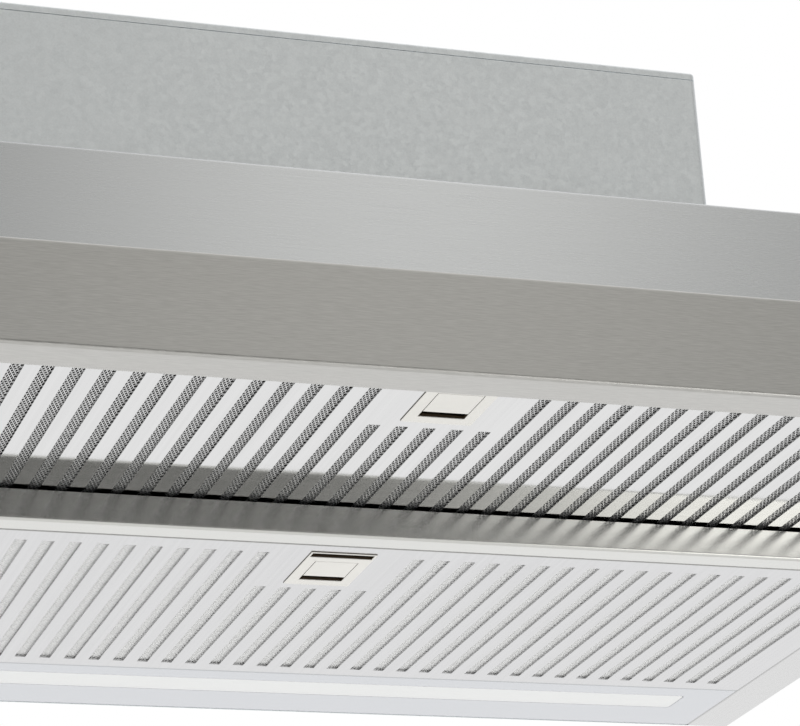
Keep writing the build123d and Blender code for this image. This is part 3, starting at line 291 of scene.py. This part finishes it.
def plated_steel(name, dark, light, roughness):
    """Bright zinc plate over pressed steel: bluish, with a cloudy passivated bloom."""
    material, tree, shader, place = start(name, roughness, 1.0)
    bloom = noise(tree, place, (14, 14, 14), 4.0)
    tree.links.new(ramp(tree, bloom, dark, light), shader.inputs["Base Color"])
    tree.links.new(span(tree, bloom, roughness * 0.8, roughness * 1.3), shader.inputs["Roughness"])
    return material


zinc_plate = plated_steel("zinc_plated_steel", "#b4b9bd", "#d4d8dc", 0.28)
spring_steel = plated_steel("bright_spring_steel", "#a2a5a8", "#bfc2c5", 0.2)


def lacquered_core(name):
    """Stacked motor sheets under dark lacquer: faint rings where the sheets meet, 1 mm apart."""
    material, tree, shader, place = start(name, 0.5, 0.2)
    rings = {"Vector": stretched(tree, place, (2, 2, 2)), "Scale": 0.5}
    sheets = add(tree, "ShaderNodeTexWave", rings, bands_direction="X").outputs["Fac"]
    tree.links.new(ramp(tree, sheets, "#2c2d2f", "#3b3c3e", 0.2, 0.8), shader.inputs["Base Color"])
    return material


motor_core = lacquered_core("lacquered_motor_core")

# Finish of each carried-over node
finishes = {
    fascia_steel: ["fascia"],
    rail_steel: ["front_rail"],
    band_steel: ["front_panel"],
    side_steel: ["side_panel_left", "side_panel_right"],
    tray_steel: [
        "light_panel",
        "tray_front_bar",
        "tray_rear_bar",
        "tray_side_left",
        "tray_side_right",
        "tray_cover",
    ],
    zinc_sheet: [
        "back_panel",
        "top_panel",
        "blower_box",
        "box_lid",
        "scroll_wrap",
        "scroll_cheek_left",
        "scroll_cheek_right",
    ],
    tray_sheet: ["tray_filter_panel"],
    fixed_sheet: ["fixed_filter_panel"],
    cream_abs: ["fixed_latch_bezel", "fixed_latch_catch", "tray_latch_bezel", "tray_latch_catch"],
    lens_acrylic: ["light_lens"],
    white_abs: ["led_channel", "led_board", "led_driver", "capacitor"],
    black_abs: [
        "outlet_collar",
        "damper_flap_front",
        "damper_flap_rear",
        "impeller",
        "terminal_box",
        "terminal_cover",
        "cable_gland",
        "switch_block",
    ],
    zinc_plate: [
        "slide_outer_left",
        "slide_outer_right",
        "slide_middle_left",
        "slide_middle_right",
        "slide_inner_left",
        "slide_inner_right",
        "fascia_screws",
        "damper_pin",
        "motor_shaft",
        "motor_bracket",
    ],
    motor_core: ["motor"],
    key_gloss: ["key_1", "key_2", "key_3", "key_4", "key_5"],
}
for material, names in finishes.items():
    for name in names:
        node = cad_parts[name]
        node.data.materials.clear()
        node.data.materials.append(material)


def clear_selection():
    """Deselect every object, and let edit mode select by vertex."""
    bpy.ops.object.select_all(action="DESELECT")
    bpy.context.tool_settings.mesh_select_mode = (True, False, False)


def choose(kind, keep):
    """In edit mode, select only the vertices or faces whose place keep() accepts."""
    bpy.ops.mesh.select_mode(type="VERT" if kind == "verts" else "FACE")
    bpy.ops.mesh.select_all(action="DESELECT")
    shell = bmesh.from_edit_mesh(bpy.context.object.data)
    for part in getattr(shell, kind):
        part.select = keep(part.co if kind == "verts" else part.calc_center_median())
    shell.select_flush_mode()
    bmesh.update_edit_mesh(bpy.context.object.data)


def copy_at(piece, shift):
    """Copy of a piece with its own mesh, moved by a shift."""
    other = piece.copy()
    other.data = piece.data.copy()
    bpy.context.scene.collection.objects.link(other)
    clear_selection()
    other.select_set(True)
    bpy.context.view_layer.objects.active = other
    other.location = shift
    bpy.ops.object.transform_apply(location=True, rotation=True, scale=True)
    return other


def settle(piece, name, material, body):
    """Give a finished piece its name, material and the body that carries it."""
    piece.name = name
    piece.data.name = name
    piece.data.materials.clear()
    piece.data.materials.append(material)
    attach(piece, body)
    return piece


def strand(x, y, z, lean):
    """One zigzag of the mesh over a single diamond, three-sided, starting towards lean."""
    bpy.ops.mesh.primitive_circle_add(
        vertices=3, radius=STRAND * MM, location=(x, y, z), rotation=(math.pi / 2, 0, 0)
    )
    for way in (lean, -lean):
        step = (way * DIAMOND_ACROSS / 2 * MM, DIAMOND_ALONG / 2 * MM, 0)
        bpy.ops.mesh.extrude_region_move(TRANSFORM_OT_translate={"value": step})


def spread(piece, name, count, step, merge):
    """Repeat a piece in a row and apply it."""
    row = piece.modifiers.new(name, "ARRAY")
    row.count = count
    row.use_relative_offset = False
    row.use_constant_offset = True
    row.constant_offset_displace = step
    row.use_merge_vertices = merge
    row.merge_threshold = MERGE * MM
    bpy.ops.object.modifier_apply(modifier=name)


def half_layer(low, high, columns):
    """Right half of a front layer of expanded mesh, as zigzag strands that meet at their corners."""
    clear_selection()
    bpy.ops.mesh.primitive_circle_add(vertices=3, radius=STRAND * MM)
    piece = bpy.context.object
    bpy.ops.object.mode_set(mode="EDIT")
    bpy.ops.mesh.delete(type="VERT")
    level = low.z + STRAND * MM
    strand(0, low.y, level, 1)
    strand(DIAMOND_ACROSS * MM, low.y, level, -1)
    bpy.ops.object.mode_set(mode="OBJECT")
    rows = int((high.y - low.y) / (DIAMOND_ALONG * MM))
    spread(piece, "along", rows, (0, DIAMOND_ALONG * MM, 0), True)
    spread(piece, "across", columns, (DIAMOND_ACROSS * MM, 0, 0), False)
    return piece


def trim_layer(piece, pocket):
    """Clear the latch's pocket out of a half layer and close the cut ends."""
    clear_selection()
    piece.select_set(True)
    bpy.context.view_layer.objects.active = piece
    bpy.ops.object.mode_set(mode="EDIT")
    choose("verts", lambda at: abs(at.x) < LATCH_POCKET_HALF * MM and at.y < pocket)
    bpy.ops.mesh.delete(type="VERT")
    bpy.ops.mesh.select_all(action="SELECT")
    bpy.ops.mesh.fill_holes(sides=3)
    bpy.ops.mesh.select_all(action="SELECT")
    bpy.ops.mesh.normals_make_consistent(inside=False)
    bpy.ops.object.mode_set(mode="OBJECT")


def mesh_core(low, high, pocket):
    """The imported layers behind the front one, notched round the latch."""
    clear_selection()
    bpy.ops.mesh.primitive_plane_add(size=1, location=(0, 0, 0))
    piece = bpy.context.object
    piece.scale = (high.x - low.x, high.y - low.y, 1)
    piece.location = (0, (low.y + high.y) / 2, low.z + (CORE_GAP + CORE_THICKNESS) * MM)
    bpy.ops.object.transform_apply(location=True, rotation=True, scale=True)
    bpy.ops.object.mode_set(mode="EDIT")
    for point, facing in (
        ((LATCH_POCKET_HALF * MM, 0, 0), (1, 0, 0)),
        ((-LATCH_POCKET_HALF * MM, 0, 0), (1, 0, 0)),
        ((0, pocket, 0), (0, 1, 0)),
    ):
        bpy.ops.mesh.select_all(action="SELECT")
        bpy.ops.mesh.bisect(plane_co=point, plane_no=facing)
    choose("faces", lambda at: abs(at.x) < LATCH_POCKET_HALF * MM and at.y < pocket)
    bpy.ops.mesh.delete(type="FACE")
    bpy.ops.object.mode_set(mode="OBJECT")
    wall = piece.modifiers.new("wall", "SOLIDIFY")
    wall.thickness = CORE_THICKNESS * MM
    bpy.ops.object.modifier_apply(modifier="wall")
    return piece


# The mesh of both filters, modelled once on the fixed filter and copied to the tray's
low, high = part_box("fixed_filter_mesh")
to_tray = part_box("tray_filter_mesh")[0] - low
pocket = low.y + LATCH_POCKET_DEPTH * MM
columns = int((high.x - STRAND * MM) / (DIAMOND_ACROSS * MM))
layer_right = half_layer(low, high, columns)
layer_left = copy_at(layer_right, (-columns * DIAMOND_ACROSS * MM, 0, 0))
fixed_core = mesh_core(low, high, pocket)
trim_layer(layer_right, pocket)
trim_layer(layer_left, pocket)
for prefix, body, wire, pad, shift in (
    ("tray", "tray", tray_wire, tray_pad, to_tray),
    ("fixed", "fixed_filter", fixed_wire, fixed_pad, None),
):
    made = [layer_left, layer_right, fixed_core]
    if shift:
        made = [copy_at(piece, shift) for piece in made]
    settle(made[0], f"{prefix}_mesh_layer_left", wire, body)
    settle(made[1], f"{prefix}_mesh_layer_right", wire, body)
    core = settle(made[2], f"{prefix}_mesh_core", pad, body)
    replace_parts(core, f"{prefix}_filter_mesh")


def bow_spring(low, high):
    """Strip of spring steel bent to an arc, with both ends on the rear wall of the latch."""
    clear_selection()
    half = SPRING_SPAN / 2 * MM
    crown = low.y + SPRING_THICKNESS / 2 * MM
    radius = (half**2 + (high.y - crown) ** 2) / (2 * (high.y - crown))
    middle = (0, crown + radius, low.z)
    bpy.ops.mesh.primitive_circle_add(vertices=SPRING_FACETS, radius=radius, location=middle)
    piece = bpy.context.object
    bpy.ops.object.transform_apply(location=True, rotation=True, scale=True)
    bpy.ops.object.mode_set(mode="EDIT")
    bpy.ops.mesh.extrude_region_move(TRANSFORM_OT_translate={"value": (0, 0, high.z - low.z)})
    bpy.ops.mesh.select_all(action="SELECT")
    bpy.ops.mesh.normals_make_consistent(inside=False)
    bpy.ops.object.mode_set(mode="OBJECT")
    strip = piece.modifiers.new("strip", "SOLIDIFY")
    strip.thickness = SPRING_THICKNESS * MM
    strip.offset = 0
    bpy.ops.object.modifier_apply(modifier="strip")
    bpy.ops.object.mode_set(mode="EDIT")
    bpy.ops.mesh.select_all(action="SELECT")
    bpy.ops.mesh.bisect(
        plane_co=(0, high.y, 0),
        plane_no=(0, 1, 0),
        use_fill=True,
        clear_outer=True,
        threshold=CUT_TOLERANCE * MM,
    )
    bpy.ops.object.mode_set(mode="OBJECT")
    bpy.ops.object.shade_smooth_by_angle(angle=SMOOTH_ANGLE)
    return piece


# The springs of both latches
low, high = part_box("fixed_latch_spring")
fixed_spring = bow_spring(low, high)
to_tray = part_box("tray_latch_spring")[0] - low
for prefix, body, piece, rear in (
    ("tray", "tray", copy_at(fixed_spring, to_tray), high + to_tray),
    ("fixed", "fixed_filter", fixed_spring, high),
):
    settle(piece, f"{prefix}_latch_bow", spring_steel, body)
    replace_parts(piece, f"{prefix}_latch_spring")
    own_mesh(piece)


def cross_head():
    """One pan-head screw with a cross recess, standing on the origin."""
    clear_selection()
    rise = SCREW_RISE * MM
    middle = (0, 0, rise / 2)
    bpy.ops.mesh.primitive_cylinder_add(vertices=32, radius=SCREW_HEAD * MM, depth=rise, location=middle)
    head = bpy.context.object
    bpy.ops.object.transform_apply(location=True, rotation=True, scale=True)
    bpy.ops.object.mode_set(mode="EDIT")
    choose("verts", lambda at: at.z > rise / 2)
    bpy.ops.mesh.bevel(offset=SCREW_CROWN * MM, segments=4, affect="EDGES")
    bpy.ops.object.mode_set(mode="OBJECT")
    for length, width in ((CROSS_LENGTH, CROSS_WIDTH), (CROSS_WIDTH, CROSS_LENGTH)):
        clear_selection()
        bpy.ops.mesh.primitive_cube_add(size=1, location=(0, 0, rise))
        cutter = bpy.context.object
        cutter.scale = (length * MM, width * MM, 2 * CROSS_DEPTH * MM)
        bpy.ops.object.transform_apply(location=True, rotation=True, scale=True)
        bpy.context.view_layer.objects.active = head
        recess = head.modifiers.new("recess", "BOOLEAN")
        recess.operation = "DIFFERENCE"
        recess.object = cutter
        bpy.ops.object.modifier_apply(modifier="recess")
        bpy.data.objects.remove(cutter)
    clear_selection()
    head.select_set(True)
    bpy.ops.object.shade_smooth_by_angle(angle=SMOOTH_ANGLE)
    return head


def corners(halves, middle_y, face):
    """Four corners of a rectangle of screws, as places in millimetres."""
    half_x, half_y = halves
    return [(sx * half_x, middle_y + sy * half_y, face) for sx in (-1, 1) for sy in (-1, 1)]


# Screws of the box, its lid and the collar
screw = cross_head()
long_sides = corners(LONG_SIDE_SCREWS, BOX_MIDDLE, BOX_FLANGE)
short_sides = corners(SHORT_SIDE_SCREWS, BOX_MIDDLE, BOX_FLANGE)
for node, places in (
    ("box_screws", long_sides + short_sides),
    ("lid_screws", corners(LID_SCREWS, BOX_MIDDLE, LID_FACE)),
    ("collar_screws", corners(COLLAR_SCREWS, COLLAR_MIDDLE, COLLAR_FLANGE)),
):
    heads = [copy_at(screw, [axis * MM for axis in place]) for place in places]
    clear_selection()
    for head in heads:
        head.select_set(True)
    bpy.context.view_layer.objects.active = heads[0]
    bpy.ops.object.join()
    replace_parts(settle(heads[0], f"{node}_crossed", zinc_plate, "housing"), node)
bpy.data.objects.remove(screw)

# Studio: a pale floor well below the hung hood, white surroundings and two soft lamps
FLOOR_RADIUS = 4.0
FLOOR_LEVEL = -2.8
clear_selection()
bpy.ops.mesh.primitive_circle_add(
    vertices=96, radius=FLOOR_RADIUS, fill_type="NGON", location=(0, 0, FLOOR_LEVEL)
)
floor = bpy.context.object
floor.name = "studio_floor"
paper = bpy.data.materials.new("pale_paper")
paper.use_nodes = True
coat = paper.node_tree.nodes["Principled BSDF"].inputs
coat["Base Color"].default_value = colour("#e8e8e6")
coat["Roughness"].default_value = 0.9
floor.data.materials.append(paper)

# What metal reflects, by the direction of the ray: X to the right, Y to the back, Z up
PHOTO_X = 0.312  # how far to the right the photo's view looks, which a front or an underside keeps
ROOM_ABOVE = (0.91, 0.41)  # in front and above: around that X, and to either side of it
ROOM_LEVEL = 0.12  # in front, level with the hood
ROOM_BELOW = (0.17, 2.4)  # in front and below: to the left, and in a bright patch to the right
ROOM_FLOOR = 1.2  # in front and steeply below
WHITE_BEHIND = (1.0, 0.68)  # behind: around that X, and to either side of it
DIFFUSE_LIGHT = 0.92

world = bpy.data.worlds.new("white_studio")
bpy.context.scene.world = world
world.use_nodes = True
sky = world.node_tree
sky.nodes.clear()
ray = add(sky, "ShaderNodeLightPath").outputs
way = add(sky, "ShaderNodeTexCoord").outputs["Generated"]
axes = add(sky, "ShaderNodeSeparateXYZ", {"Vector": way}).outputs
in_front = span(sky, axes["Y"], 0.0, 1.0, 0.15, -0.45)
upwards = span(sky, axes["Z"], 0.0, 1.0, 0.0, 0.3)
downwards = span(sky, axes["Z"], 0.0, 1.0, -0.15, -0.32)
steeply = span(sky, axes["Z"], 0.0, 1.0, -0.45, -0.65)
aside = reckon(sky, "ABSOLUTE", reckon(sky, "SUBTRACT", axes["X"], PHOTO_X))
patch = span(sky, axes["X"], *ROOM_BELOW, 0.335, 0.395)
below = blend(sky, steeply, blend(sky, downwards, ROOM_LEVEL, patch), ROOM_FLOOR)
above = span(sky, aside, *ROOM_ABOVE, 0.03, 0.14)
behind = span(sky, aside, *WHITE_BEHIND, 0.16, 0.36)
shown = blend(sky, in_front, behind, blend(sky, upwards, below, above))

# The camera, and glass, see plain white; the room in front is slightly warm in reflections
lit = blend(sky, ray["Is Glossy Ray"], DIFFUSE_LIGHT, shown)
clear = reckon(sky, "MAXIMUM", ray["Is Camera Ray"], ray["Is Transmission Ray"])
warm = reckon(sky, "MULTIPLY", in_front, ray["Is Glossy Ray"])
tint = ramp(sky, warm, "#ffffff", "#fdfcf8", 0.0, 1.0)
white = add(sky, "ShaderNodeBackground", {"Color": tint, "Strength": blend(sky, clear, lit, 1.0)})
add(sky, "ShaderNodeOutputWorld", {"Surface": white.outputs["Background"]})

LAMP_SIZE = 1.6
LAMP_AIM = Vector((0, -0.05, -0.08))
for name, place, power in (
    ("key_lamp", (-1.6, -1.8, 1.8), 12),
    ("low_lamp", (0.8, -1.6, -1.6), 6),
):
    lamp = bpy.data.lights.new(name, "AREA")
    lamp.size = LAMP_SIZE
    lamp.energy = power
    holder = bpy.data.objects.new(name, lamp)
    holder.location = place
    holder.visible_glossy = False
    holder.rotation_euler = (LAMP_AIM - Vector(place)).to_track_quat("-Z", "Y").to_euler()
    bpy.context.scene.collection.objects.link(holder)

# Camera where the photo was taken from: in front, below and to the left
CAMERA_PLACE = (-0.4312, -1.40255, -0.6268)
CAMERA_TURN = (1.9490683, 0.0565917, -0.3227516)
FOCAL_LENGTH = 144.108
SENSOR_WIDTH = 36
NEAREST = 0.05
FARTHEST = 50
optics = bpy.data.cameras.new("photo_camera")
optics.sensor_width = SENSOR_WIDTH
optics.lens = FOCAL_LENGTH
optics.clip_start = NEAREST
optics.clip_end = FARTHEST
camera = bpy.data.objects.new("photo_camera", optics)
camera.location = CAMERA_PLACE
camera.rotation_euler = CAMERA_TURN
bpy.context.scene.collection.objects.link(camera)
bpy.context.scene.camera = camera
bpy.context.scene.view_settings.view_transform = "Standard"
